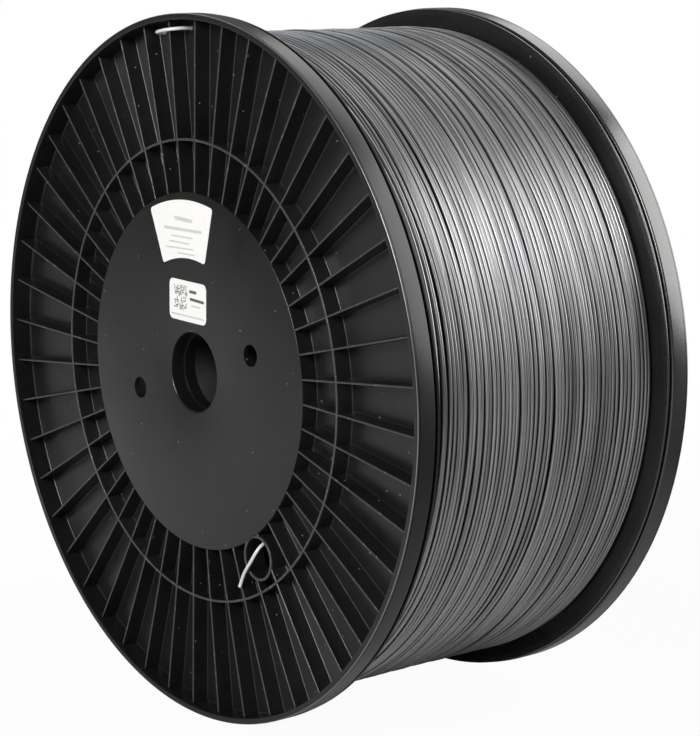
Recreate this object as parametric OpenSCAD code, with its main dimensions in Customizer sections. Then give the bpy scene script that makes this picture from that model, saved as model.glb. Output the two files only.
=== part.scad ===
// Large flanged spool of 3D printing filament, standing on its two rims.
// The spool's axis is Y. The flange with the labels faces -Y, and Z is up.
// The origin is the centre of the spool, on its axis, half way between the flanges.

/* [Flange] */
// Outer diameter of both flanges
flange_d = 355; // [345:1:400]
// Width of the smooth band round the rim
rim_w = 10; // [7:0.5:11]
// Wall of the rim band
rim_wall = 3; // [2:0.25:5]
// How far the rim stands out past the ribs
rim_step = 2.5; // [0.5:0.25:4]
// Thickness of the flange wall beside the filament
web_t = 2; // [1.5:0.25:3]
// Height of the ribs over the flange wall
rib_h = 9; // [7:0.5:12]
// Thickness of each radial rib
rib_t = 1.4; // [1:0.1:2.4]
// Number of radial ribs
rib_count = 48; // [36:12:60]
// Thickness of the ring that crosses the ribs
ring_t = 1.5; // [1:0.1:3]

/* [Hub] */
// Diameter of the smooth hub plate
hub_d = 180; // [160:1:182]
// Thickness of the hub plate
plate_t = 2.5; // [1.5:0.25:4]
// Diameter of the bore that runs on a spindle
bore_d = 38; // [25:0.5:38.5]
// Length of the bore's bearing face in each flange
bore_l = 6; // [4:0.5:12]
// Diameter of the wider mouth before the bore
mouth_d = 40; // [39:0.5:46]
// Wall of the collar round the bore
collar_wall = 4; // [2.5:0.5:8]
// Width of the chamfer at the mouth
lip = 0.8; // [0.4:0.1:1.5]
// Diameter of the two drive holes
drive_d = 11; // [6:0.5:16]
// Diameter of the circle that the drive holes are on
drive_circle_d = 102; // [80:1:130]

/* [Filament boss] */
// Outer diameter of the tube that the inner end comes out of
boss_d = 22.8; // [16:0.2:24]
// Wall of that tube
boss_wall = 1.4; // [1:0.1:2.5]
// Turn of the tube from the line of the drive holes, in degrees
boss_turn = -75; // [-100:1:-50]

/* [Barrel] */
// Outside diameter of the barrel that the filament is wound on
barrel_d = 232; // [228:1:260]
// Wall of the barrel
barrel_wall = 3; // [2:0.5:5]
// Depth of the spigot on each flange that carries the barrel
spigot_l = 5; // [3:0.5:10]
// Wall of that spigot
spigot_wall = 2; // [1.5:0.25:3]
// Diameter of the holes that the filament passes through
pass_d = 3.2; // [2.6:0.1:4]

/* [Spool] */
// Overall width over both rims
spool_w = 171; // [120:1:220]
// How far the spool has rolled from having its drive holes level, in degrees
turn = 17; // [-180:1:180]

/* [Filament] */
// Diameter of the filament
strand_d = 1.75; // [1.75:0.05:2.4]
// How far the full winding stays below the rims' edge
winding_gap = 9.5; // [8.5:0.5:40]
// Number of turns drawn in the outer layer
turns = 24; // [12:1:24]

/* [Labels] */
// Thickness of the stuck-on labels
label_t = 0.2; // [0.1:0.05:0.5]
// Outer radius of the fan-shaped label
fan_outer_r = 86; // [75:1:87]
// Inner radius of the fan-shaped label
fan_inner_r = 57; // [45:1:70]
// Angle that the fan-shaped label takes up
fan_angle = 37; // [20:1:60]
// Width of the small label
card_w = 32; // [20:1:40]
// Height of the small label
card_h = 20.5; // [12:0.5:22]
// Radius of the fan-shaped label's corners
fan_corner_r = 1.6; // [0.6:0.2:4]
// Radius of the small label's corners
card_corner_r = 3; // [1:0.5:5]

/* [Hidden] */
$fn = 180;

fit = 0.3;               // gap between faces that would otherwise rub
eps = 0.01;              // overrun of a cut past the face it opens
sink = 1;                // how deep a raised form starts in the wall that carries it
root = 0.6;              // how far a rib's inner end runs into the hub's wall
rib_low = 0.1;           // how far the ribs' edges lie below the hub plate, ring and boss

black = [0.10, 0.10, 0.11];
silver = [0.62, 0.63, 0.64];
white = [0.93, 0.93, 0.92];

// Heights over the flange wall's inner face, which is z = 0 in a flange's own frame
rib_z = web_t + rib_h;
flange_t = rib_z + rim_step;
band_z = flange_t - rim_w;
inner_w = spool_w - 2 * flange_t;
face_y = -(inner_w / 2 + rib_z);

rim_r = flange_d / 2;
rim_in = rim_r - rim_wall;
bead_r = rim_r - 1.4;            // the rounded edge of the flange wall
bead_h = min(web_t + 1, band_z - 0.5);
groove_r = bead_r - 0.8;         // bottom of the groove between bead and band
front_r = 0.8;                   // rounding of the rim's front edges
back_r = min(2, rim_w / 4);      // rounding of the band's inner edge
rib_end = (rim_in + groove_r) / 2;
seam_w = 0.7;                    // fine seam round the band behind its front edge
seam_depth = 0.4;

hub_r = hub_d / 2;
hub_wall = 2;
barrel_r = barrel_d / 2;
barrel_in = barrel_r - barrel_wall;
collar_r = max(mouth_d, bore_d) / 2 + collar_wall;
step_z = rib_z - 8;              // where the wide mouth steps down to the bore
boss_r = boss_d / 2;
boss_bite = 1.2;                 // how far the boss cuts into the hub plate's edge
boss_z = rib_z + 0.2;            // it stands just proud of the plate
boss_at = hub_r + boss_r - boss_bite;

rib_pitch = 360 / rib_count;
tail_rib = (floor(78.75 / rib_pitch) + 0.5) * rib_pitch;  // the rib that the outer end passes over
tail_turns = [tail_rib + 0.767 * rib_pitch, tail_rib - 0.273 * rib_pitch];
tail_hole_at = rim_in - 4.2;     // radius of the holes either side of it
start_hole_in = 16;              // inset of the barrel's hole from the flange

label_shift = hub_r / 30;        // the fan was stuck on a little to one side
label_turn = 77;                 // its middle, from the line of the drive holes
card_at = [-0.0433, 0.392] * hub_r;  // middle of the small label
card_tilt = -1.3;

// Stands a solid whose own axis is Z on the spool's axis, with its +Z to -Y
module lay() {
    rotate([90, 0, 0]) children();
}

// Points of an arc from angle a to angle b
function arc(c, r, a, b, n) = [
    for (i = [0:n]) let (t = a + (b - a) * i / n) [c[0] + r * cos(t), c[1] + r * sin(t)]
];

// Section of the flange wall and the rim: rounded bead, groove, then the band with its seam
module rim_section() {
    bead_round = min(1.2, bead_h / 2.2);
    seam_z = flange_t - front_r - 0.6;
    polygon(concat(
        [[hub_r - hub_wall / 2, 0]],
        arc([bead_r - bead_round, bead_round], bead_round, -90, 0, 4),
        arc([bead_r - bead_round, bead_h - bead_round], bead_round, 0, 90, 4),
        [[groove_r, bead_h], [groove_r, band_z]],
        arc([rim_r - back_r, band_z + back_r], back_r, -90, 0, 6),
        [[rim_r, seam_z - seam_w], [rim_r - seam_depth, seam_z - seam_w / 2], [rim_r, seam_z]],
        arc([rim_r - front_r, flange_t - front_r], front_r, 0, 90, 4),
        arc([rim_in + front_r / 2, flange_t - front_r / 2], front_r / 2, 90, 180, 3),
        [[rim_in, web_t + 1.5], [rim_in - 1.5, web_t], [hub_r - hub_wall / 2, web_t]]
    ));
}

// Hub plate, collar and the wall that steps down to the ribs' floor
module hub_section() {
    polygon([
        [mouth_d / 2 + lip, rib_z],
        [hub_r, rib_z],
        [hub_r, 0],
        [hub_r - hub_wall, 0],
        [hub_r - hub_wall, rib_z - plate_t],
        [collar_r, rib_z - plate_t],
        [collar_r, step_z - bore_l],
        [bore_d / 2, step_z - bore_l],
        [bore_d / 2, step_z],
        [mouth_d / 2, step_z],
        [mouth_d / 2, rib_z - lip]
    ]);
}

module ribs() {
    for (i = [0:rib_count - 1])
        rotate([0, 0, (i + 0.5) * rib_pitch])
            translate([hub_r - root, -rib_t / 2, web_t - sink])
                cube([rib_end - hub_r + root, rib_t, rib_h + sink - rib_low]);
}

module tube(r_out, r_in, z0, z1) {
    translate([0, 0, z0])
        difference() {
            cylinder(r = r_out, h = z1 - z0);
            translate([0, 0, -eps]) cylinder(r = r_in, h = z1 - z0 + 2 * eps);
        }
}

module at_boss() {
    rotate([0, 0, boss_turn]) translate([boss_at, 0, 0]) children();
}

// One moulded flange in its own frame: filament side at z = 0, rim front at the top,
// drive holes on the X axis
module flange() {
    difference() {
        union() {
            rotate_extrude() rim_section();
            rotate_extrude() hub_section();
            tube(barrel_r + ring_t / 2, barrel_r - ring_t / 2, web_t - sink, rib_z);
            tube(barrel_in - fit, barrel_in - fit - spigot_wall, -spigot_l, sink);
            ribs();
            at_boss() cylinder(r = boss_r, h = boss_z, $fn = 72);
        }
        at_boss()
            translate([0, 0, -eps])
                cylinder(r = boss_r - boss_wall, h = boss_z + 2 * eps, $fn = 72);
        for (side = [0, 180])
            rotate([0, 0, side])
                translate([drive_circle_d / 2, 0, rib_z - plate_t - eps])
                    cylinder(d = drive_d, h = plate_t + 2 * eps, $fn = 48);
        for (t = tail_turns)
            rotate([0, 0, t])
                translate([tail_hole_at, 0, -eps])
                    cylinder(d = pass_d, h = web_t + 2 * eps, $fn = 32);
    }
}

module near_flange() {
    color(black)
        lay() rotate([0, 0, turn]) translate([0, 0, inner_w / 2]) flange();
}

// The same moulding, turned over about the line of the drive holes
module far_flange() {
    color(black)
        lay() rotate([0, 0, turn]) rotate([180, 0, 0]) translate([0, 0, inner_w / 2]) flange();
}

// Barrel tube on the flanges' spigots, with the hole for the filament's inner end
module barrel() {
    color(black)
        lay()
            rotate([0, 0, turn])
                difference() {
                    tube(barrel_r, barrel_in, -inner_w / 2, inner_w / 2);
                    rotate([0, 0, boss_turn])
                        translate([barrel_in - 5, 0, inner_w / 2 - start_hole_in])
                            rotate([0, 90, 0])
                                cylinder(d = pass_d, h = barrel_wall + 10, $fn = 32);
                }
}

// The strand's centre line in the outer layer runs through corners of a polygon, so the
// plain core below stays clear of the middle of each side
ring_steps = 24;
strand_path_r = rim_r - winding_gap - strand_d / 2;
core_r = strand_path_r * cos(180 / ring_steps) - strand_d / 2 - fit;

module filament_core() {
    color(silver)
        lay() tube(core_r, barrel_r + fit, -inner_w / 2 + fit, inner_w / 2 - fit);
}

// Route of the outer layer: out of the far flange's face, 24 turns, and square into the
// near flange's face at the hole that takes the outer end
bend_r = 2.2 * strand_d;
run = 1.1 * strand_d;                        // straight run at each end
half_run = inner_w / 2 - run - bend_r;
tail_turn = turn + tail_turns[0];
function unit(v) = v / norm(v);
function polar(r, a, y) = [r * cos(a), y, r * sin(a)];
function smooth(t) = let (s = max(0, min(1, t))) s * s * (3 - 2 * s);

// A quarter bend at the near end, from the face at the hole into the turns
function near_end(r, a) = let (c = polar(r, a, 0), t = [-sin(a), 0, cos(a)]) concat(
    [c + [0, -inner_w / 2, 0]],
    [for (i = [0:3])
        c + [0, -inner_w / 2 + run + bend_r * sin(i * 22.5), 0] + t * bend_r * (1 - cos(i * 22.5))]
);
// The same at the far end, from the turns into the face
function far_end(r, a) = let (c = polar(r, a, 0), t = [sin(a), 0, -cos(a)]) concat(
    [for (i = [3:-1:0])
        c + [0, inner_w / 2 - run - bend_r * sin(i * 22.5), 0] + t * bend_r * (1 - cos(i * 22.5))],
    [c + [0, inner_w / 2, 0]]
);
lead_a = bend_r / strand_path_r * 180 / PI;  // turn that a bend takes up
layer_steps = turns * ring_steps;
layer_a = tail_turn + lead_a;
layer_route = concat(
    near_end(tail_hole_at, tail_turn),
    [for (i = [0:layer_steps])
        let (lift = (tail_hole_at - strand_path_r) * (1 - smooth(i / (ring_steps / 2))))
        polar(strand_path_r + lift, layer_a + i * 360 / ring_steps,
              half_run * (2 * i / layer_steps - 1))],
    far_end(strand_path_r, layer_a + turns * 360 + lead_a)
);

// Least gap between the strand's turns, measured from ring to ring of the next turn
layer_gap = min([
    for (i = [5:len(layer_route) - ring_steps - 8], j = [ring_steps - 3:ring_steps + 3])
        norm(layer_route[i + j] - layer_route[i])
]) - strand_d;
echo(least_gap_between_turns_mm = layer_gap);

// A tube swept along a route. Its rings are turned by a direction that is never along
// the route: one fixed way, or outwards from the spool's axis when none is given
module swept(route, d, sides, way = [0, 0, 0]) {
    last = len(route) - 1;
    rings = [
        for (i = [0:last])
            let (
                p = route[i],
                t = unit(route[min(i + 1, last)] - route[max(i - 1, 0)]),
                w = norm(way) > 0 ? way : [p[0], 0, p[2]],
                u = unit(w - (w * t) * t),
                v = cross(t, u)
            )
            for (k = [0:sides - 1])
                let (a = k * 360 / sides)
                p + d / 2 * (cos(a) * u + sin(a) * v)
    ];
    skin = [
        for (i = [0:last - 1], k = [0:sides - 1])
            let (a = i * sides + k, b = i * sides + (k + 1) % sides)
            each [[a, a + sides, b], [b, a + sides, b + sides]]
    ];
    caps = [
        for (k = [1:sides - 2])
            each [[0, k, k + 1], [last * sides, last * sides + k + 1, last * sides + k]]
    ];
    polyhedron(points = rings, faces = concat(skin, caps));
}

module filament_outer_layer() {
    color(silver) swept(layer_route, strand_d, 6);
}

// Outer end: out of one hole in the near flange, over a rib and back in at the next. Each
// point is a share of the way between the holes and of the arch's height
tail_top = rib_z + strand_d / 2 + 0.5;
tail_shape = [
    [0, 0], [0, 0.2], [0.03, 0.44], [0.125, 0.67], [0.28, 0.87], [0.47, 0.98],
    [0.66, 1], [0.77, 0.98], [0.87, 0.87], [0.95, 0.66], [0.99, 0.4], [1, 0.2], [1, 0]
];
tail_route = [
    for (p = tail_shape)
        (1 - p[0]) * polar(tail_hole_at, turn + tail_turns[0], 0)
        + p[0] * polar(tail_hole_at, turn + tail_turns[1], 0)
        - [0, inner_w / 2 + p[1] * tail_top, 0]
];
module filament_tail() {
    color(silver) swept(tail_route, strand_d, 8);
}

// Inner end: from the winding through the barrel's hole, out of the boss and free past
// its edge. Points run along and across the hub's radius from the boss's centre, the
// first ones as shares of the hole's distance and depth, the others of the boss's room
hole_reach = barrel_r + fit - boss_at;
boss_room = boss_r - boss_wall - strand_d / 2;
start_top = boss_z + strand_d / 2 + 0.3;
start_below = [
    [1, 0, 1], [0.76, 0, 1], [0.54, 0.01, 0.98], [0.31, 0.05, 0.87], [0.09, 0.1, 0.72]
];
start_above = [
    [-0.2, 0.2, -7.5], [-0.5, 0.28, -2.5], [-0.66, 0.34, 0.23 * rib_z],
    [-0.66, 0.38, 0.56 * rib_z], [-0.53, 0.32, 0.83 * rib_z], [-0.34, 0.16, rib_z + 0.3],
    [-0.16, -0.08, start_top], [0, -0.44, start_top + 0.3], [0.16, -0.9, start_top + 0.4],
    [0.34, -1.37, start_top + 0.3], [0.54, -1.78, start_top + 0.1], [0.8, -2.22, start_top]
];
across_hub = [-sin(turn + boss_turn), 0, cos(turn + boss_turn)];
function at_boss_point(along, across, z) =
    polar(boss_at + along, turn + boss_turn, -inner_w / 2 - z) + across * across_hub;
start_route = concat(
    [for (p = start_below)
        at_boss_point(p[0] * hole_reach, p[1] * boss_room, -p[2] * start_hole_in)],
    [for (p = start_above) at_boss_point(p[0] * boss_room, p[1] * boss_room, p[2])]
);
module filament_start() {
    color(silver) swept(start_route, strand_d, 8, across_hub);
}

// Quarter round about a point, for the small label's corners
function card_corner(c, a) = arc(c, card_corner_r, a, a + 90, 5);

function fan_corner(r, a, from) =
    arc([r * cos(a), r * sin(a)], fan_corner_r, from, from + 90, 5);

module fan_label() {
    half = fan_angle / 2;
    r_in = fan_inner_r + fan_corner_r;
    r_out = fan_outer_r - fan_corner_r;
    edge_in = half - asin(fan_corner_r / r_in);
    edge_out = half - asin(fan_corner_r / r_out);
    outline = concat(
        arc([0, 0], fan_inner_r, edge_in, -edge_in, 16),
        fan_corner(r_in, -edge_in, 180 - half), fan_corner(r_out, -edge_out, 270 - half),
        arc([0, 0], fan_outer_r, -edge_out, edge_out, 20),
        fan_corner(r_out, edge_out, half), fan_corner(r_in, edge_in, half + 90)
    );
    color(white)
        translate([-label_shift, face_y, 0])
            lay() rotate([0, 0, turn + label_turn]) linear_extrude(label_t) polygon(outline);
}

module card_label() {
    x = card_w / 2 - card_corner_r;
    y = card_h / 2 - card_corner_r;
    outline = concat(card_corner([x, y], 0), card_corner([-x, y], 90),
                     card_corner([-x, -y], 180), card_corner([x, -y], 270));
    color(white)
        translate([card_at[0], face_y, card_at[1]])
            lay() rotate([0, 0, card_tilt]) linear_extrude(label_t) polygon(outline);
}

near_flange();
far_flange();
barrel();
filament_core();
filament_outer_layer();
filament_tail();
filament_start();
fan_label();
card_label();
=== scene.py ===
import bpy
import math
import random
from mathutils import Matrix, Vector


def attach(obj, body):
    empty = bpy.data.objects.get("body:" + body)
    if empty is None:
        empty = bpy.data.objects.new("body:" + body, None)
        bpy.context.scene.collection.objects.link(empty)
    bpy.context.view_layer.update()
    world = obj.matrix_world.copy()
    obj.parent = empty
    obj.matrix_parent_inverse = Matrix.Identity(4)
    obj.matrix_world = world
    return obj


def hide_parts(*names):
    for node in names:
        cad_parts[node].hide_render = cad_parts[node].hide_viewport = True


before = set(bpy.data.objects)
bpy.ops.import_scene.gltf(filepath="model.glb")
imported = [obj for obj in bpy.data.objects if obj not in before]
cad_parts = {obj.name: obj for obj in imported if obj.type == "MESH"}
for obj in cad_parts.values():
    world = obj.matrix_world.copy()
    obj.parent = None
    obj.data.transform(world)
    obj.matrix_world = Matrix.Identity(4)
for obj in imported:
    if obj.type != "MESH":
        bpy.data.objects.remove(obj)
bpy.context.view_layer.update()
mm = 0.001
print("frame loaded:", len(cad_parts), "nodes")


camera = {
    "azimuth": 51.68, "elevation": 10.30, "roll": -0.16,   # degrees
    "distance": 1180.6,                                    # mm from the spool's centre
    "right": 13.2, "up": -7.3,                             # mm, where the camera stands off that line
    "focalPixels": 2259.8, "imageWidth": 700, "sensor": 36,
    "clip": (0.05, 50),                                    # metres
}


def makeCamera(c):
    a, e, roll = (math.radians(c[k]) for k in ("azimuth", "elevation", "roll"))
    back = Vector((math.sin(a) * math.cos(e), -math.cos(a) * math.cos(e), math.sin(e)))
    right = Vector((math.cos(a), math.sin(a), 0))
    up = back.cross(right)
    right, up = (math.cos(roll) * right + math.sin(roll) * up,
                 math.cos(roll) * up - math.sin(roll) * right)
    place = (back * c["distance"] + right * c["right"] + up * c["up"]) * mm
    data = bpy.data.cameras.new("mainCamera")
    data.sensor_fit = "HORIZONTAL"
    data.sensor_width = c["sensor"]
    data.lens = c["focalPixels"] * c["sensor"] / c["imageWidth"]
    data.clip_start, data.clip_end = c["clip"]
    cam = bpy.data.objects.new("mainCamera", data)
    bpy.context.scene.collection.objects.link(cam)
    turned = Matrix((right, up, back)).transposed().to_4x4()
    cam.matrix_world = Matrix.Translation(place) @ turned
    bpy.context.scene.camera = cam


makeCamera(camera)


def deselectAll():
    bpy.ops.object.select_all(action="DESELECT")


def activate(obj):
    deselectAll()
    obj.select_set(True)
    bpy.context.view_layer.objects.active = obj


def polar(radius, degrees, y):
    a = math.radians(degrees)
    return Vector((radius * math.cos(a), y, radius * math.sin(a))) * mm


def editAll(obj):
    activate(obj)
    bpy.ops.object.mode_set(mode="EDIT")
    bpy.ops.mesh.select_all(action="SELECT")


def leaveEdit():
    bpy.ops.object.mode_set(mode="OBJECT")


def outlineRing(name, points):
    # a circle's vertices drawn out to a closed outline, points in metres
    deselectAll()
    bpy.ops.mesh.primitive_circle_add(vertices=len(points), radius=10 * mm)
    obj = bpy.context.view_layer.objects.active
    obj.name = obj.data.name = name
    for vertex, place in zip(obj.data.vertices, points):
        vertex.co = place
    return obj


def arcPoints(centre, radius, start, end, count):
    return [(centre[0] + radius * math.cos(math.radians(start + (end - start) * i / count)),
             centre[1] + radius * math.sin(math.radians(start + (end - start) * i / count)))
            for i in range(count + 1)]


def spinPiece(name, outline, place, centre, steps):
    # outline is (radius, height) pairs; place turns one into a point, and the spin is
    # about the line through centre along Y
    obj = outlineRing(name, [place(r, h) for r, h in outline])
    editAll(obj)
    bpy.ops.mesh.spin(steps=steps, angle=2 * math.pi, center=centre, axis=(0, 1, 0))
    bpy.ops.mesh.select_all(action="SELECT")
    bpy.ops.mesh.remove_doubles(threshold=1e-6)
    bpy.ops.mesh.normals_make_consistent(inside=False)
    leaveEdit()
    return obj


def fillAndExtrude(obj, move):
    # a flat outline becomes a solid with straight sides
    editAll(obj)
    bpy.ops.mesh.edge_face_add()
    bpy.ops.mesh.extrude_region_move(TRANSFORM_OT_translate={"value": move})
    bpy.ops.mesh.select_all(action="SELECT")
    bpy.ops.mesh.normals_make_consistent(inside=False)
    leaveEdit()


def joinPieces(name, parts):
    activate(parts[0])
    for part in parts:
        part.select_set(True)
    bpy.ops.object.join()
    obj = bpy.context.view_layer.objects.active
    obj.name = obj.data.name = name
    return obj


def copyOf(obj):
    activate(obj)
    bpy.ops.object.duplicate()
    return bpy.context.view_layer.objects.active


def remove(*objects):
    for obj in objects:
        bpy.data.objects.remove(obj, do_unlink=True)


def cutWith(obj, cutter):
    activate(obj)
    cut = obj.modifiers.new("cut", "BOOLEAN")
    cut.operation = "DIFFERENCE"
    cut.solver = "EXACT"
    cut.object = cutter
    bpy.ops.object.modifier_apply(modifier="cut")


def makeStrand(name, points, diameter, resolution):
    curve = bpy.data.curves.new(name, "CURVE")
    curve.dimensions = "3D"
    curve.bevel_depth = diameter / 2 * mm
    curve.bevel_resolution = resolution
    curve.use_fill_caps = True
    spline = curve.splines.new("POLY")
    spline.points.add(len(points) - 1)
    for point, place in zip(spline.points, points):
        point.co = (*place, 1)
    obj = bpy.data.objects.new(name, curve)
    bpy.context.scene.collection.objects.link(obj)
    activate(obj)
    bpy.ops.object.convert(target="MESH")
    obj = bpy.context.view_layer.objects.active
    bpy.ops.object.shade_smooth()
    obj.name = name
    return obj


def smoothByAngle(obj, degrees):
    activate(obj)
    bpy.ops.object.shade_smooth_by_angle(angle=math.radians(degrees))


def newMaterial(name, **values):
    mat = bpy.data.materials.new(name)
    mat.use_nodes = True
    tree = mat.node_tree
    shader = tree.nodes["Principled BSDF"]
    for socket, value in values.items():
        shader.inputs[socket.replace("_", " ")].default_value = value
    return mat, tree, shader


def addNode(tree, kind, **inputs):
    node = tree.nodes.new(kind)
    for socket, value in inputs.items():
        node.inputs[socket.replace("_", " ")].default_value = value
    return node


def setOrLink(tree, value, socket):
    # a number or a colour is set on the socket, and another node's output is linked to it
    if isinstance(value, (int, float)):
        socket.default_value = value
    elif isinstance(value, tuple):
        socket.default_value = (*value, 1)
    else:
        tree.links.new(value, socket)


def mathNode(tree, operation, *values):
    node = tree.nodes.new("ShaderNodeMath")
    node.operation = operation
    for socket, value in zip(node.inputs, values):
        setOrLink(tree, value, socket)
    return node.outputs[0]


def product(tree, first, *others):
    for other in others:
        first = mathNode(tree, "MULTIPLY", first, other)
    return first


def vectorNode(tree, operation, source, other=None):
    node = tree.nodes.new("ShaderNodeVectorMath")
    node.operation = operation
    tree.links.new(source, node.inputs[0])
    if other is not None:
        node.inputs[1].default_value = other
    return node.outputs["Vector" if operation == "MULTIPLY" else "Value"]


def rise(tree, value, low, high):
    # 0 below low, 1 above high
    node = addNode(tree, "ShaderNodeMapRange", From_Min=low, From_Max=high)
    tree.links.new(value, node.inputs["Value"])
    return node.outputs["Result"]


def mixColour(tree, share, one, other, kind="MIX"):
    node = tree.nodes.new("ShaderNodeMixRGB")
    node.blend_type = kind
    for socket, value in zip(node.inputs, (share, one, other)):
        setOrLink(tree, value, socket)
    return node.outputs["Color"]


def ramp(tree, source, stops):
    # each stop is a place from 0 to 1 and a grey or a colour
    node = tree.nodes.new("ShaderNodeValToRGB")
    elements = node.color_ramp.elements
    while len(elements) < len(stops):
        elements.new(0.5)
    for element, (place, grey) in zip(elements, stops):
        element.position = place
        element.color = (*grey, 1) if isinstance(grey, tuple) else (grey, grey, grey, 1)
    tree.links.new(source, node.inputs["Fac"])
    return node.outputs["Color"]


def between(tree, source, low, high, places=(0.3, 0.7)):
    # most of a noise lies between the two places
    return ramp(tree, source, list(zip(places, (low, high))))


def objectPlace(tree):
    return tree.nodes.new("ShaderNodeTexCoord").outputs["Object"]


def noise(tree, place, scale, detail, roughness=0.5, distortion=0.0):
    node = addNode(tree, "ShaderNodeTexNoise", Scale=scale, Detail=detail,
                   Roughness=roughness, Distortion=distortion)
    tree.links.new(place, node.inputs["Vector"])
    return node.outputs["Fac"]


def addBump(tree, shader, height, strength, distance):
    bump = addNode(tree, "ShaderNodeBump", Strength=strength, Distance=distance)
    tree.links.new(height, bump.inputs["Height"])
    tree.links.new(bump.outputs["Normal"], shader.inputs["Normal"])


plastic = {
    "ior": 1.5,
    "plain": ((0.0065, 0.0065, 0.0068), (0.0105, 0.0105, 0.0108)), "plainPlaces": (0.3, 0.75),
    "plainGloss": 0.6, "rimGloss": (0.37, 1.15),         # near rim scuffed, far one clean
    "rough": (0.25, 0.41), "rimRough": (0.22, 0.32), "nearRougher": 0.05,
    "wornAndLit": (0.042, 0.042, 0.042),       # front edges of the ribs and the ring, paler for rubbing and as a painted highlight, and the nicks in them
    "nicked": (0.13, 0.13, 0.13),        # and the nicks in them
    "nickRise": (0.56, 0.68),
    "rim": (0.0066, 0.0063, 0.0061), "scuffed": (0.0145, 0.0142, 0.0140),
    "scuffRise": (0.5, 0.72), "scuffShare": 0.6,
    # the rim's front outer corner is painted as a pale highlight line, partly pale wear, and given more
    # gloss
    "rimFront": (0.015, 0.015, 0.015), "cornerHighlight": (0.075, 0.074, 0.073), "cornerGloss": 1.6,
    "smudge": 0.6, "smudgeDarker": 0.5,  # how far the handling marks cover, and how dark they are
    "smudgeRise": (0.56, 0.66),
    "dust": (0.20, 0.20, 0.19), "dustSpacing": 120, "dustSize": 0.050,
    # noises: scale, detail, roughness, distortion
    "clouds": (22, 5, 0.6), "marks": (34, 4, 0.7, 0.6), "scuffs": (240, 5, 0.75), "grain": (900, 3, 0.6),
    "grainBump": (0.05, 0.0002),         # strength, and depth in metres
    # where a finish begins and where it is whole: mm from the spool's axis,
    "rimRadius": (173.5, 174.2), "hubRadius": (90.1, 90.6), "cornerRadius": (177.0, 177.2),
    # and mm from its middle
    "edgeOut": (82.4, 82.8), "rimFaceOut": (85.0, 85.4), "cornerOut": (85.0, 85.2),
}


def blackPlastic():
    s = plastic
    mat, tree, shader = newMaterial("blackSatinPlastic", IOR=s["ior"])
    place = objectPlace(tree)
    clouds, marks, scuffs, grain = (noise(tree, place, *s[texture])
                                    for texture in ("clouds", "marks", "scuffs", "grain"))
    specks = addNode(tree, "ShaderNodeTexVoronoi", Scale=s["dustSpacing"])
    tree.links.new(place, specks.inputs["Vector"])
    parted = tree.nodes.new("ShaderNodeSeparateXYZ")
    tree.links.new(place, parted.inputs[0])
    x, y, z = parted.outputs
    radius = mathNode(tree, "SQRT", mathNode(tree, "ADD", product(tree, x, x), product(tree, z, z)))
    out = mathNode(tree, "ABSOLUTE", y)
    nearSide = mathNode(tree, "LESS_THAN", y, 0.0)

    def past(value, limits):
        low, high = s[limits]
        return rise(tree, value, low * mm, high * mm)

    onRim = past(radius, "rimRadius")
    offRim = mathNode(tree, "SUBTRACT", 1.0, onRim)
    edge = product(tree, past(out, "edgeOut"), past(radius, "hubRadius"), offRim)
    rimFace = product(tree, past(out, "rimFaceOut"), onRim)
    cornerHighlight = product(tree, past(out, "cornerOut"), past(radius, "cornerRadius"))

    dark, pale = s["plain"]
    tint = between(tree, clouds, dark, pale, s["plainPlaces"])
    smudged = product(tree, rise(tree, marks, *s["smudgeRise"]), s["smudge"])
    colour = mixColour(tree, smudged, tint, tuple(s["smudgeDarker"] * c for c in dark))
    scuffed = product(tree, rise(tree, scuffs, *s["scuffRise"]), s["scuffShare"])
    colour = mixColour(tree, onRim, colour, mixColour(tree, scuffed, s["rim"], s["scuffed"]))
    colour = mixColour(tree, rimFace, colour, s["rimFront"])
    # painted highlight, partly wear: a pale line along the rim's front outer corner
    colour = mixColour(tree, cornerHighlight, colour, s["cornerHighlight"])
    nicked = rise(tree, scuffs, *s["nickRise"])
    # painted highlight and wear: the front edges of the ribs, the ring and the boss are paler, the nicks
    # paler still
    colour = mixColour(tree, edge, colour, mixColour(tree, nicked, s["wornAndLit"], s["nicked"]))
    inSpeck = mathNode(tree, "LESS_THAN", specks.outputs["Distance"], s["dustSize"])
    colour = mixColour(tree, product(tree, offRim, inSpeck), colour, s["dust"])
    tree.links.new(colour, shader.inputs["Base Color"])

    rough = mixColour(tree, onRim, between(tree, clouds, *s["rough"]),
                      between(tree, clouds, *s["rimRough"]))
    dull = product(tree, onRim, nearSide, s["nearRougher"])
    tree.links.new(mathNode(tree, "ADD", rough, dull), shader.inputs["Roughness"])
    nearGloss, farGloss = s["rimGloss"]
    rimLevel = mathNode(tree, "MULTIPLY_ADD", nearSide, nearGloss - farGloss, farGloss)
    level = mathNode(tree, "ADD", product(tree, onRim, rimLevel), product(tree, offRim, s["plainGloss"]))
    level = mathNode(tree, "MULTIPLY_ADD", cornerHighlight, s["cornerGloss"], level)
    tree.links.new(level, shader.inputs["Specular IOR Level"])
    addBump(tree, shader, grain, *s["grainBump"])
    return mat


filament = {
    "ior": 1.46, "metallic": 0.8, "rough": (0.28, 0.34),
    "top": ((0.31, 0.316, 0.326), (0.37, 0.37, 0.37)),             # darkest and palest tint
    # the layer below and the core are coloured far darker than the top turns: painted shade for the gaps
    # between them
    "below": ((0.035, 0.036, 0.038), (0.05, 0.05, 0.05)),
    "drift": (18, 3, 0.5), "strands": (1, 2, 0.6),                 # noises, as for the plastic
    "stretch": (9, 390, 9),   # the strands' noise changes fast from turn to turn, slowly along one
    # painted shade: each strand's tint is darkened at random by up to half, for strands lying lower
    "strandPaintedShades": [(0.34, 0.5), (0.5, 0.85), (0.62, 1.0)],
    # the two loose ends are paler and hardly metallic
    "ends": ((0.74, 0.74, 0.73), (0.86, 0.86, 0.85)),
    "endsDrift": (160, 2), "endsMetallic": 0.1, "endsRough": 0.35,
}


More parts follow.
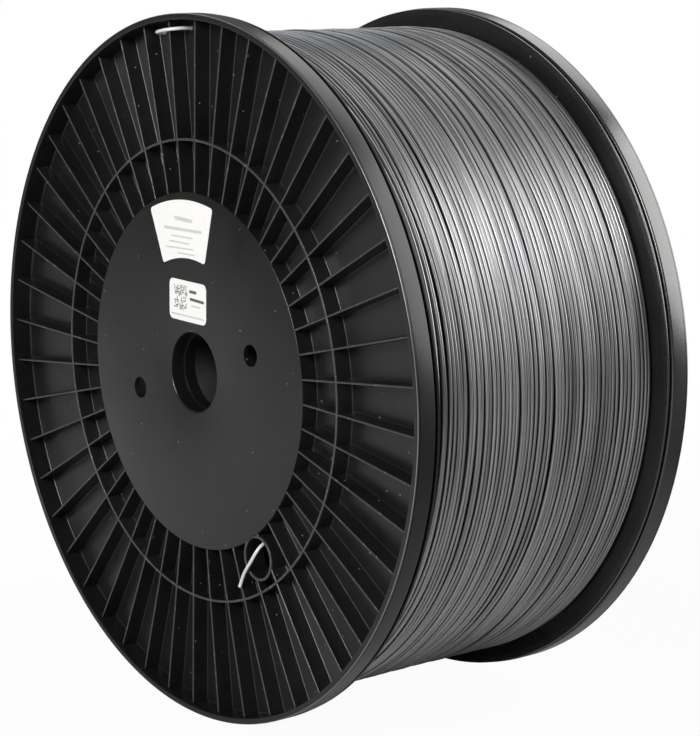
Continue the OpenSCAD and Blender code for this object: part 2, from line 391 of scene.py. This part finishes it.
def greyFilament(name, dark, pale):
    s = filament
    mat, tree, shader = newMaterial(name, Metallic=s["metallic"], IOR=s["ior"])
    place = objectPlace(tree)
    drift = noise(tree, place, *s["drift"])
    strands = noise(tree, vectorNode(tree, "MULTIPLY", place, s["stretch"]), *s["strands"])
    # painted shade: a random darkening from strand to strand
    shade = ramp(tree, strands, s["strandPaintedShades"])
    colour = mixColour(tree, 1.0, between(tree, drift, dark, pale), shade, "MULTIPLY")
    tree.links.new(colour, shader.inputs["Base Color"])
    tree.links.new(between(tree, drift, *s["rough"]), shader.inputs["Roughness"])
    return mat


def brightFilament():
    s = filament
    mat, tree, shader = newMaterial("brightFilament", Metallic=s["endsMetallic"],
                                    Roughness=s["endsRough"], IOR=s["ior"])
    drift = noise(tree, objectPlace(tree), *s["endsDrift"])
    tree.links.new(between(tree, drift, *s["ends"]), shader.inputs["Base Color"])
    return mat


labels = {
    "paper": ((0.89, 0.89, 0.88), (0.93, 0.93, 0.92)), "paperPlaces": (0.2, 0.8), "paperRough": 0.55,
    "fibre": (300, 4, 0.6), "fibreBump": (0.1, 0.0001),
    "darkInk": 0.10, "paleInk": 0.56,
    "inkPatches": (900, 2), "inkPaler": 1.25, "inkRough": 0.6,
}


def labelPaper():
    s = labels
    mat, tree, shader = newMaterial("labelPaper", Roughness=s["paperRough"])
    fibre = noise(tree, objectPlace(tree), *s["fibre"])
    tint = between(tree, fibre, *s["paper"], s["paperPlaces"])
    tree.links.new(tint, shader.inputs["Base Color"])
    addBump(tree, shader, fibre, *s["fibreBump"])
    return mat


def greyInk(name):
    s = labels
    mat, tree, shader = newMaterial(name, Roughness=s["inkRough"])
    patches = noise(tree, objectPlace(tree), *s["inkPatches"])
    tint = between(tree, patches, s[name], s[name] * s["inkPaler"])
    tree.links.new(tint, shader.inputs["Base Color"])
    return mat


materials = {
    "plastic": blackPlastic(), "label": labelPaper(), "filamentEnd": brightFilament(),
    "filament": greyFilament("greyFilament", *filament["top"]),
    # painted shade: the layer below and the core take a far darker copy of the filament
    "filamentBelowShaded": greyFilament("greyFilamentBelowShaded", *filament["below"]),
    "darkInk": greyInk("darkInk"), "paleInk": greyInk("paleInk"),
}
print("materials made")


def setMaterial(obj, mat):
    obj.data.materials.clear()
    obj.data.materials.append(mat)


def finishPiece(obj, mat, slot, *nodes):
    setMaterial(obj, mat)
    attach(obj, "root")
    if nodes:
        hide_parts(*nodes)


for mat, names in (("plastic", ("near_flange", "far_flange", "barrel")),
                   ("label", ("fan_label", "card_label")),
                   ("filament", ("filament_core", "filament_tail", "filament_start"))):
    for name in names:
        setMaterial(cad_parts[name], materials[mat])


filamentEnds = {
    "diameter": 1.75, "round": 3,
    "smoothing": 4,           # steps of the smooth line from each point to the next
    # inner end: from the barrel's hole, out of the boss and past its edge, in mm
    "start": [(61.6, -56, -98.6), (59.6, -56, -95.3), (57.8, -56.3, -92.3), (56.1, -58.1, -89.0),
              (54.6, -60.5, -85.7), (53.7, -64.5, -82.5), (52.8, -69.5, -79.7),
              (52.5, -74.5, -78.2), (52.8, -78.2, -78.0), (53.0, -81.1, -79.3),
              (52.7, -83.3, -81.6), (51.7, -84.4, -84.1), (49.7, -84.7, -87.1),
              (46.9, -84.8, -90.6), (44.1, -84.7, -94.2), (41.9, -84.5, -97.8),
              (39.8, -84.4, -101.9)],
    # outer end: out of one hole at the rim, over a rib and back in at the next
    "tail": [(-34.0, -72.0, 166.9), (-34.0, -74.5, 166.9), (-33.3, -77.4, 167.0), (-31.1, -80.3, 167.3),
             (-27.5, -82.8, 167.7), (-23.2, -84.1, 168.3), (-18.8, -84.4, 168.9), (-16.3, -84.1, 169.2),
             (-14.0, -82.8, 169.5), (-12.1, -80.2, 169.8), (-11.2, -77.0, 169.9), (-11.0, -74.5, 169.9),
             (-11.0, -72.0, 169.9)],
}


def rounded(points, parts):
    # a smooth line through the points, ends kept
    out = []
    for i in range(len(points) - 1):
        before = points[max(0, i - 1)]
        here, there = points[i], points[i + 1]
        after = points[min(len(points) - 1, i + 2)]
        for j in range(parts):
            u = j / parts
            out.append(0.5 * (2 * here + (there - before) * u
                              + (2 * before - 5 * here + 4 * there - after) * u * u
                              + (3 * here - before - 3 * there + after) * u ** 3))
    return out + [points[-1]]


def makeEnd(name, route, s):
    points = rounded([Vector(q) * mm for q in route], s["smoothing"])
    return makeStrand(name, points, s["diameter"], s["round"]), points


startEnd, startLine = makeEnd("filamentStart", filamentEnds["start"], filamentEnds)
finishPiece(startEnd, materials["filamentEnd"], "filament", "filament_start")
tailEnd, tailLine = makeEnd("filamentTail", filamentEnds["tail"], filamentEnds)
finishPiece(tailEnd, materials["filamentEnd"], "filament", "filament_tail")


# radii, and heights from a flange's inner face out, in mm
flange = {
    "halfInner": 72.0,        # from the spool's middle to a flange's inner face
    "rim": 177.5, "rimInside": 174.5, "rimFront": 13.5, "rimFrontRound": 0.6, "rimInsideRound": 0.4,
    "rimFoot": 1.2,           # fillet inside the rim
    "bandBack": 2.9, "bandRound": 1.1,
    "bead": 177.0, "beadRound": 0.45, "beadBack": 1.3, "groove": 175.0, "grooveSlope": 0.1,
    "seam": 1.15,             # a fine line round the rim, this far behind its front
    "seamWidth": 0.3, "seamDepth": 0.35,
    "hub": 90.0, "hubFront": 11.0, "hubRound": 0.5, "hubWall": 2.0, "plateBack": 8.5,
    "floor": 2.0,             # outer face of the wall beside the filament
    "ring": 116.0, "ringHalf": 0.65,
    "ribHalf": 0.52, "ribFront": 10.9, "ribs": 48, "firstRib": 20.75,
    "ribRoot": 0.6, "ribTip": 0.3,       # how far a rib runs into the hub and into the rim,
    "sunk": 0.8,                         # and into the wall
    "fillet": 0.6, "soft": 0.35,
    "bore": 19.0, "boreEnds": (-3, 3), "collar": 24.0, "mouth": 20.0, "lip": 0.8,
    # the ring that carries the barrel: inner and outer radius, length and chamfer
    "spigot": (110.7, 112.7, 5, 0.4),
    "boss": (100.2, -58.0), "bossOuter": 11.4, "bossInner": 10.0, "bossFront": 11.2,
    "bossBack": -0.02, "bossBackWall": 0.6, "bossRound": 0.3, "bossClear": 0.3,
    "driveHole": 5.5, "driveCircle": 51.0, "driveTurn": 17.0,
    "tailHole": 1.6, "tailCircle": 170.3, "tailTurns": (101.5, 93.7),
    # where each cutter begins and ends, and its sides
    "bossCut": (-6, 16, 64), "driveCut": (6, 16, 48), "tailCut": (-2, 6, 24),
    "steps": 192, "bossSteps": 64, "smoothAngle": 38,
}


def onFlange(radius, height):
    return Vector((radius, -(flange["halfInner"] + height), 0)) * mm


def onFace(radius, degrees):
    # x and z, in mm, at a turn round the axis
    a = math.radians(degrees)
    return Vector((math.cos(a), math.sin(a))) * radius


def dishOutline(f):
    # the whole moulding's section but for its ribs, ring and boss
    wall, rim, bead, groove = f["floor"], f["rim"], f["bead"], f["groove"]
    seam, seamWidth = f["rimFront"] - f["seam"], f["seamWidth"]
    boreBack, boreFront = f["boreEnds"]
    inner, outer, length, chamfer = f["spigot"]
    beadRound, bandRound, slope = f["beadRound"], f["bandRound"], f["grooveSlope"]
    front, inside, foot, fillet = f["rimFrontRound"], f["rimInsideRound"], f["rimFoot"], f["fillet"]
    hub, hubInside, hubRound, lip = f["hub"], f["hub"] - f["hubWall"], f["hubRound"], f["lip"]
    return ([(f["bore"], boreBack), (f["collar"], boreBack), (f["collar"], f["plateBack"]),
             (hubInside, f["plateBack"]), (hubInside, 0),
             (inner, 0), (inner, chamfer - length), (inner + chamfer, -length),
             (outer - chamfer, -length), (outer, chamfer - length), (outer, 0)]
            + arcPoints((bead - beadRound, beadRound), beadRound, -90, 0, 5)
            + arcPoints((bead - beadRound, f["beadBack"] - beadRound), beadRound, 0, 90, 4)
            + [(groove, f["beadBack"] + slope), (groove, f["bandBack"] - slope)]
            + arcPoints((rim - bandRound, f["bandBack"] + bandRound), bandRound, -90, 0, 5)
            + [(rim, seam - seamWidth), (rim - f["seamDepth"], seam - seamWidth / 2), (rim, seam)]
            + arcPoints((rim - front, f["rimFront"] - front), front, 0, 90, 5)
            + arcPoints((f["rimInside"] + inside, f["rimFront"] - inside), inside, 90, 180, 3)
            + arcPoints((f["rimInside"] - foot, wall + foot), foot, 0, -90, 5)
            + arcPoints((hub + fillet, wall + fillet), fillet, -90, -180, 5)
            + arcPoints((hub - hubRound, f["hubFront"] - hubRound), hubRound, 0, 90, 4)
            + arcPoints((f["mouth"] + lip, f["hubFront"] - lip), lip, 90, 180, 4)
            + [(f["mouth"], boreFront), (f["bore"], boreFront)])


def ribOutline(half, front, f):
    # across a rib or the ring: a filleted foot and softened front edges
    foot, soft, wall = f["fillet"], f["soft"], f["floor"]
    side = (arcPoints((half + foot, wall + foot), foot, -90, -180, 5)
            + arcPoints((half - soft, front - soft), soft, 0, 90, 3))
    return ([(x, h) for x, h in side] + [(-x, h) for x, h in reversed(side)]
            + [(-half - foot, wall - f["sunk"]), (half + foot, wall - f["sunk"])])


def makeRib(f):
    # one rib, standing along X from the hub's wall out to the rim's
    start, end = f["hub"] - f["ribRoot"], f["rimInside"] + f["ribTip"]
    section = [Vector((start, -f["halfInner"] - h, x)) * mm
               for x, h in ribOutline(f["ribHalf"], f["ribFront"], f)]
    rib = outlineRing("rib", section)
    fillAndExtrude(rib, ((end - start) * mm, 0, 0))
    return rib


def makeRibs(f, bossCutter):
    # copies of one rib all round, cut away where the boss stands
    whole = makeRib(f)
    bossRadius, bossTurn = f["boss"]
    ribs = []
    for i in range(f["ribs"]):
        turn = f["firstRib"] + 360 / f["ribs"] * i
        rib = copyOf(whole)
        rib.data.transform(Matrix.Rotation(math.radians(-turn), 4, "Y"))
        away = (turn - bossTurn + 180) % 360 - 180
        if abs(bossRadius * math.sin(math.radians(away))) < f["bossOuter"] and abs(away) < 90:
            cutWith(rib, bossCutter)
        ribs.append(rib)
    remove(whole)
    return ribs


def makeBoss(f, at):
    inner, outer, front, back = f["bossInner"], f["bossOuter"], f["bossFront"], f["bossBack"]
    foot, soft, wall = f["fillet"], f["bossRound"], f["floor"]
    tube = ([(inner, back), (inner + f["bossBackWall"], back), (outer + foot, wall - f["sunk"])]
            + arcPoints((outer + foot, wall + foot), foot, -90, -180, 4)
            + arcPoints((outer - soft, front - soft), soft, 0, 90, 3)
            + arcPoints((inner + soft, front - soft), soft, 90, 180, 3))
    centre = Vector((at[0], 0, at[1])) * mm
    return spinPiece("boss", tube, lambda r, h: onFlange(r, h) + centre, centre, f["bossSteps"])


def cylinderCutter(name, radius, centre, low, high, sides):
    deselectAll()
    middle = Vector((centre[0], -(flange["halfInner"] + (low + high) / 2), centre[1])) * mm
    bpy.ops.mesh.primitive_cylinder_add(vertices=sides, radius=radius * mm,
                                        depth=(high - low) * mm, location=middle,
                                        rotation=(math.pi / 2, 0, 0))
    cutter = bpy.context.view_layer.objects.active
    cutter.name = name
    bpy.ops.object.transform_apply(location=True, rotation=True, scale=True)
    return cutter


def makeFlanges(f):
    # the near flange, and the same moulding without the two holes for the outer end
    dish = spinPiece("dish", dishOutline(f), onFlange, (0, 0, 0), f["steps"])
    bossAt = onFace(*f["boss"])
    bossHole = cylinderCutter("bossHole", f["bossInner"] + f["bossClear"], bossAt, *f["bossCut"])
    driveHoles = [
        cylinderCutter("driveHole", f["driveHole"], onFace(f["driveCircle"], turn), *f["driveCut"])
        for turn in (f["driveTurn"], f["driveTurn"] + 180)]
    bossCutter = copyOf(bossHole)
    holes = joinPieces("holes", [bossHole] + driveHoles)
    cutWith(dish, holes)
    plainDish = copyOf(dish)
    tailHoles = joinPieces("tailHoles", [
        cylinderCutter("tailHole", f["tailHole"], onFace(f["tailCircle"], turn), *f["tailCut"])
        for turn in f["tailTurns"]])
    cutWith(dish, tailHoles)
    ring = spinPiece("ring", ribOutline(f["ringHalf"], f["hubFront"], f),
                     lambda x, h: onFlange(f["ring"] + x, h), (0, 0, 0), f["steps"])
    ribs = makeRibs(f, bossCutter)
    onDish = [ring, makeBoss(f, bossAt)] + ribs
    remove(holes, bossCutter, tailHoles)
    copies = [copyOf(part) for part in onDish]
    made = [joinPieces("nearFlange", [dish] + onDish), joinPieces("farFlange", [plainDish] + copies)]
    for flangePiece in made:
        smoothByAngle(flangePiece, f["smoothAngle"])
    return made


nearFlange, farFlange = makeFlanges(flange)
# the far flange is turned over about the line of its drive holes
driveLine = math.radians(flange["driveTurn"])
farFlange.data.transform(Matrix.Rotation(math.pi, 4, Vector((math.cos(driveLine), 0, math.sin(driveLine)))))
finishPiece(nearFlange, materials["plastic"], "flange_plastic", "near_flange")
finishPiece(farFlange, materials["plastic"], "flange_plastic", "far_flange")
print("flanges made:", len(nearFlange.data.polygons), "and", len(farFlange.data.polygons), "faces")


winding = {
    "strand": 1.75,           # mm
    "radius": 167.7,          # to the outside of the top turns
    "halfWidth": 71.7,
    "pitch": 2.40,            # mean step from turn to turn
    "apart": 1.13,            # the least step, in strands
    "rideSquare": 2.6,        # mm2, the least square of a step where one strand rides over the next
    "steps": 132, "round": 3,                # points to a turn, and how round the strand is
    # slow changes along the strand, and how many turns lie from knot to knot of each:
    # stray, drift, quick, phase, lift, slow lift
    "knots": (0.11, 0.37, 0.052, 0.9, 0.13, 0.45),
    "wander": 1.35,           # how far a strand strays from its even place
    "wanderShares": (0.45, 0.3, 0.3),        # by stray, drift and quick
    "bunching": 0.02,         # how strongly turns gather, in turns
    # turns in a bunch, its weight, and how far its beat wanders
    "bunches": ((2.9, 1.0, 1.4), (4.3, 0.8, 2.2)),
    "ride": 0.8,              # how far a strand rises over or sinks below the others
    "rideShares": (0.6, 0.4),                # by lift and slow lift
    "swell": 0.2,             # slow dips and bulges of the whole surface
    "swellKnots": 12, "swellRows": 5,        # round a turn, and across the width
    "smoothing": 2,           # points on each side that a point is evened with
    "shoulder": (8.0, 1.3),   # by the far flange, how wide and how deep the surface falls
    "seed": 11,
    # the first turn comes out of a hole in the near flange: share of the way round, share of
    # the rise to the hole, and how far out, from the spool's middle and then from the turn
    "leadTurn": 15,
    "inHole": [(0, 1, 73.6), (0, 1, 72.6), (0.02, 1, 71.9)],
    "fromHole": [(0.10, 0.97, 0.45), (0.24, 0.85, 0.22), (0.45, 0.6, 0.1), (0.7, 0.3, 0.03)],
    # the layer below
    "layerStep": 2.5, "belowSteps": 96, "belowRound": 1, "belowStart": 30, "belowSeed": 16,
    "coreInner": 116.3, "coreStep": 1.5,     # the closed core, and how far it is below
    "coreSides": 160, "coreSmooth": 30,
}


def easedNoise(rng, length, step):
    # even noise from -1 to 1 with a knot at every step
    knots = [rng.uniform(-1, 1) for _ in range(int(length / step) + 3)]

    def value(s):
        k = max(0, s) / step
        i = int(k)
        f = k - i
        f = f * f * (3 - 2 * f)
        return knots[i] * (1 - f) + knots[i + 1] * f
    return value


def smoothed(values, reach):
    total = [0]
    for v in values:
        total.append(total[-1] + v)
    out = []
    for i in range(len(values)):
        lo, hi = max(0, i - reach), min(len(values), i + reach + 1)
        out.append((total[hi] - total[lo]) / (hi - lo))
    return out


def layTurns(w, rng, turns, steps, width):
    # how far across the width each point of the strand lies, and how far it rises
    stray, drift, quick, phase, lift, slowLift = (easedNoise(rng, turns + 2, k) for k in w["knots"])
    ys, lifts = [], []
    for i in range(turns * steps + 1):
        s = i / steps
        bunch = sum(weight * math.sin(2 * math.pi * s / size + beat * shift(s))
                    for (size, weight, beat), shift in zip(w["bunches"], (phase, drift)))
        off = sum(share * part(s) for share, part in zip(w["wanderShares"], (stray, drift, quick)))
        y = max(w["pitch"] * (s - w["bunching"] * bunch) + w["wander"] * off, 0)
        up = sum(share * part(s) for share, part in zip(w["rideShares"], (lift, slowLift)))
        lifts.append(w["ride"] * up)
        if i >= steps:
            apart = (w["apart"] * w["strand"]) ** 2 - (lifts[i] - lifts[i - steps]) ** 2
            y = max(y, ys[i - steps] + math.sqrt(max(apart, w["rideSquare"])))
        ys.append(y)
    squeeze = min(1, width / max(ys))
    return smoothed([y * squeeze for y in ys], w["smoothing"]), lifts


def windTurns(w, seed, handed, radius, steps, startAngle):
    # One strand wound from the near flange to the far one. It strays, rises and sinks,
    # gathers with its neighbours, and never runs through the turn before.
    rng = random.Random(seed)
    width = 2 * w["halfWidth"] - w["strand"]
    ys, lifts = layTurns(w, rng, int(width / w["pitch"]), steps, width)
    knots, rows = w["swellKnots"], w["swellRows"]
    swells = [easedNoise(rng, knots + 2, 1) for _ in range(rows)]
    wide, deep = w["shoulder"]
    points = []
    for i, y in enumerate(ys):
        s = i / steps
        around = (s % 1) * knots
        blend = min(1, (knots - around) / 2)         # the swells close up after a full turn
        across = y / width * (rows - 1)
        row = min(rows - 2, int(across))
        hills = [swell(around) * blend + swell(0) * (1 - blend) for swell in swells[row:row + 2]]
        hill = hills[0] * (1 - (across - row)) + hills[1] * (across - row)
        edge = 1 - min(1, (width - y) / wide)
        r = radius - w["strand"] / 2 - deep * edge * edge + w["swell"] * hill + lifts[i]
        points.append((r, handed * s * 360 + startAngle, y - width / 2))
    rs = smoothed([q[0] for q in points], w["smoothing"])
    return [polar(r, q[1], q[2]) for r, q in zip(rs, points)]


def leadIn(w, first, radius, degrees):
    # from the near flange's hole, bending round into the first turn; in the hole the
    # strand stands along Y
    level, side = math.hypot(first.x, first.z) / mm, abs(first.y) / mm
    shape = w["inHole"] + [(along, up, side + out) for along, up, out in w["fromHole"]]
    return [polar(level + (radius - level) * up, degrees + w["leadTurn"] * along, -y)
            for along, up, y in shape]


def makeCore(w, radius):
    # the closed core under both layers of turns
    inner, half = w["coreInner"], w["halfWidth"]
    wide, deep = w["shoulder"]
    outline = [(inner, -half), (inner, half), (radius - deep, half), (radius, half - wide), (radius, -half)]
    core = spinPiece("core", outline, lambda r, y: Vector((r, y, 0)) * mm, (0, 0, 0), w["coreSides"])
    smoothByAngle(core, w["coreSmooth"])
    return core


def makeTop(w):
    hole = flange["tailTurns"][0]
    route = windTurns(w, w["seed"], 1, w["radius"], w["steps"], hole + w["leadTurn"])
    route = leadIn(w, route[0], flange["tailCircle"], hole) + route
    return makeStrand("windingTop", route, w["strand"], w["round"]), len(route) // w["steps"]


def makeUnder(w):
    radius = w["radius"] - w["layerStep"]
    route = windTurns(w, w["belowSeed"], -1, radius, w["belowSteps"], w["belowStart"])
    core = makeCore(w, radius - w["coreStep"] - w["strand"] / 2)
    return joinPieces("windingUnder", [core, makeStrand("turns", route, w["strand"], w["belowRound"])])


topLayer, topTurns = makeTop(winding)
finishPiece(topLayer, materials["filament"], "filament", "filament_outer_layer")
finishPiece(makeUnder(winding), materials["filamentBelowShaded"], "filament", "filament_core")
print("winding made:", topTurns, "turns on top,", len(topLayer.data.polygons), "faces")


prints = {
    "face": 83.2, "proud": 0.02, "sink": 0.05,      # the labels' face, and the ink on it
    "capShare": 0.98,                               # how far a bar's ends are rounded
    # centre, length, height and tilt of each bar, in mm and degrees across the near face
    "dark": [((0.8, 40.4), 6.4, 1.5, -1), ((4.2, 36.4), 12.4, 1.5, -3)],
    "pale": [((-6.6, 76.1), 15.5, 2.0, -3), ((-7.2, 71.0), 33.0, 1.5, 0), ((-8.0, 67.3), 19.0, 0.8, 0),
             ((-10.7, 64.4), 17.5, 0.8, -1), ((-10.0, 61.5), 24.5, 0.8, 1),
             ((-4.6, 59.0), 15.5, 0.8, 0), ((3.0, 33.3), 7.8, 0.9, -2), ((-4.3, 27.8), 29.0, 0.9, -1)],
    # a square of plain dots: middle, size, places along a side, dot size, share left out, seed
    "square": ((-9.9, 36.8), (11.8, 12.4), 15, 0.74, 0.5, 4),
}


def inkBar(place, length, height, tilt, s):
    # a thin plate with round ends, sunk into the paper
    a = math.radians(tilt)
    cap = min(height, length) / 2 * s["capShare"]
    x, z = length / 2 - cap, height / 2 - cap
    outline = (arcPoints((x, z), cap, 0, 90, 3) + arcPoints((-x, z), cap, 90, 180, 3)
               + arcPoints((-x, -z), cap, 180, 270, 3) + arcPoints((x, -z), cap, 270, 360, 3))
    points = [Vector((place[0] + x * math.cos(a) - z * math.sin(a), s["sink"] - s["face"],
                      place[1] + x * math.sin(a) + z * math.cos(a))) * mm for x, z in outline]
    bar = outlineRing("bar", points)
    fillAndExtrude(bar, (0, -(s["sink"] + s["proud"]) * mm, 0))
    return bar


def dotSquare(s):
    (cx, cz), size, count, dot, leftOut, seed = s["square"]
    rng = random.Random(seed)
    first = inkBar((0, 0), dot, dot, 0, s)
    dots = []
    for row in range(count):
        for column in range(count):
            if rng.random() < leftOut:
                continue
            x = cx + (column / (count - 1) - 0.5) * (size[0] - dot)
            z = cz + (row / (count - 1) - 0.5) * (size[1] - dot)
            copy = copyOf(first)
            copy.data.transform(Matrix.Translation((x * mm, 0, z * mm)))
            dots.append(copy)
    remove(first)
    return dots


for ink in ("dark", "pale"):
    bars = [inkBar(*bar, prints) for bar in prints[ink]]
    if ink == "dark":
        bars += dotSquare(prints)
    finishPiece(joinPieces(ink + "Print", bars), materials[ink + "Ink"], "label")
print("label print made")


stage = {
    "floorZ": -177.5, "floorSize": 8.0, "floorSides": 64, "floorRough": 0.9, "floorGloss": 0.1,
    "world": (0.10, 0.105, 0.112), "glossyWorld": (0.12, 0.123, 0.13),
    # the floor's grey, which lights the spool from below, in metres along a direction; the darker grey
    # further back is painted shade
    "floorGreyPaintedShade": [(0.0, 0.64), (0.12, 0.42), (0.4, 0.10)], "greyAlong": (0.35, 0.94, 0),
    # how much of the spool's shadow the white hides, in metres from the middle
    "floorWhite": [(0.25, 0.96), (0.75, 1.0)],
    # name: place, aimed at, size, watts, colour
    "lights": {
        "front": ((0.85, -1.85, 1.05), (0, 0, 0.02), 1.0, 47, (1.0, 0.985, 0.96)),
        "back": ((1.0, 1.5, 0.85), (0, 0, 0.02), 1.9, 43, (1.0, 0.995, 0.985)),
        "high": ((-0.55, 1.55, 1.4), (0, 0, 0.02), 1.6, 15, (1.0, 0.985, 0.97)),
        "left": ((-1.6, 0.4, 1.3), (0, 0, 0), 1.4, 6, (0.90, 0.95, 1.0)),
    },
}


def makeLights(s):
    for name, (place, target, size, watts, colour) in s["lights"].items():
        data = bpy.data.lights.new(name, "AREA")
        data.shape = "DISK"
        data.size = size
        data.energy = watts
        data.color = colour
        light = bpy.data.objects.new(name, data)
        light.location = place
        light.rotation_euler = (Vector(place) - Vector(target)).to_track_quat("Z", "Y").to_euler()
        bpy.context.scene.collection.objects.link(light)


def mixShaders(tree, share, one, other):
    mix = tree.nodes.new("ShaderNodeMixShader")
    for socket, output in zip(mix.inputs, (share, one, other)):
        tree.links.new(output, socket)
    return mix.outputs[0]


def backdrop(tree, output, plain, white, whiteShare=None, glossy=None):
    # The camera and anything seen through glass meet the white, or a share of it. Other
    # rays meet the plain shader, and reflections the glossy one where it is given.
    path = tree.nodes.new("ShaderNodeLightPath")
    seen = mathNode(tree, "MAXIMUM", path.outputs["Is Camera Ray"], path.outputs["Is Transmission Ray"])
    if glossy is not None:
        plain = mixShaders(tree, path.outputs["Is Glossy Ray"], plain, glossy)
    if whiteShare is not None:
        seen = product(tree, seen, whiteShare)
    tree.links.new(mixShaders(tree, seen, plain, white), output.inputs["Surface"])


def makeWorld(s):
    world = bpy.data.worlds.new("softStudio")
    bpy.context.scene.world = world
    world.use_nodes = True
    tree = world.node_tree
    plain = tree.nodes["Background"]
    plain.inputs["Color"].default_value = (*s["world"], 1)
    white = addNode(tree, "ShaderNodeBackground", Color=(1, 1, 1, 1))
    glossy = addNode(tree, "ShaderNodeBackground", Color=(*s["glossyWorld"], 1))
    backdrop(tree, tree.nodes["World Output"], plain.outputs[0], white.outputs[0], glossy=glossy.outputs[0])


def makeFloor(s):
    deselectAll()
    bpy.ops.mesh.primitive_circle_add(vertices=s["floorSides"], radius=s["floorSize"] / 2,
                                      fill_type="NGON", location=(0, 0, s["floorZ"] * mm))
    floor = bpy.context.view_layer.objects.active
    floor.name = "floor"
    mat, tree, shader = newMaterial("paleFloor", Roughness=s["floorRough"],
                                    Specular_IOR_Level=s["floorGloss"])
    white = addNode(tree, "ShaderNodeEmission", Color=(1, 1, 1, 1), Strength=1)
    place = objectPlace(tree)
    grey = ramp(tree, vectorNode(tree, "DOT_PRODUCT", place, s["greyAlong"]), s["floorGreyPaintedShade"])
    tree.links.new(grey, shader.inputs["Base Color"])
    share = ramp(tree, vectorNode(tree, "LENGTH", place), s["floorWhite"])
    backdrop(tree, tree.nodes["Material Output"], shader.outputs[0], white.outputs[0], whiteShare=share)
    setMaterial(floor, mat)


makeLights(stage)
makeWorld(stage)
makeFloor(stage)
bpy.context.scene.view_settings.view_transform = "Standard"
print("stage made")
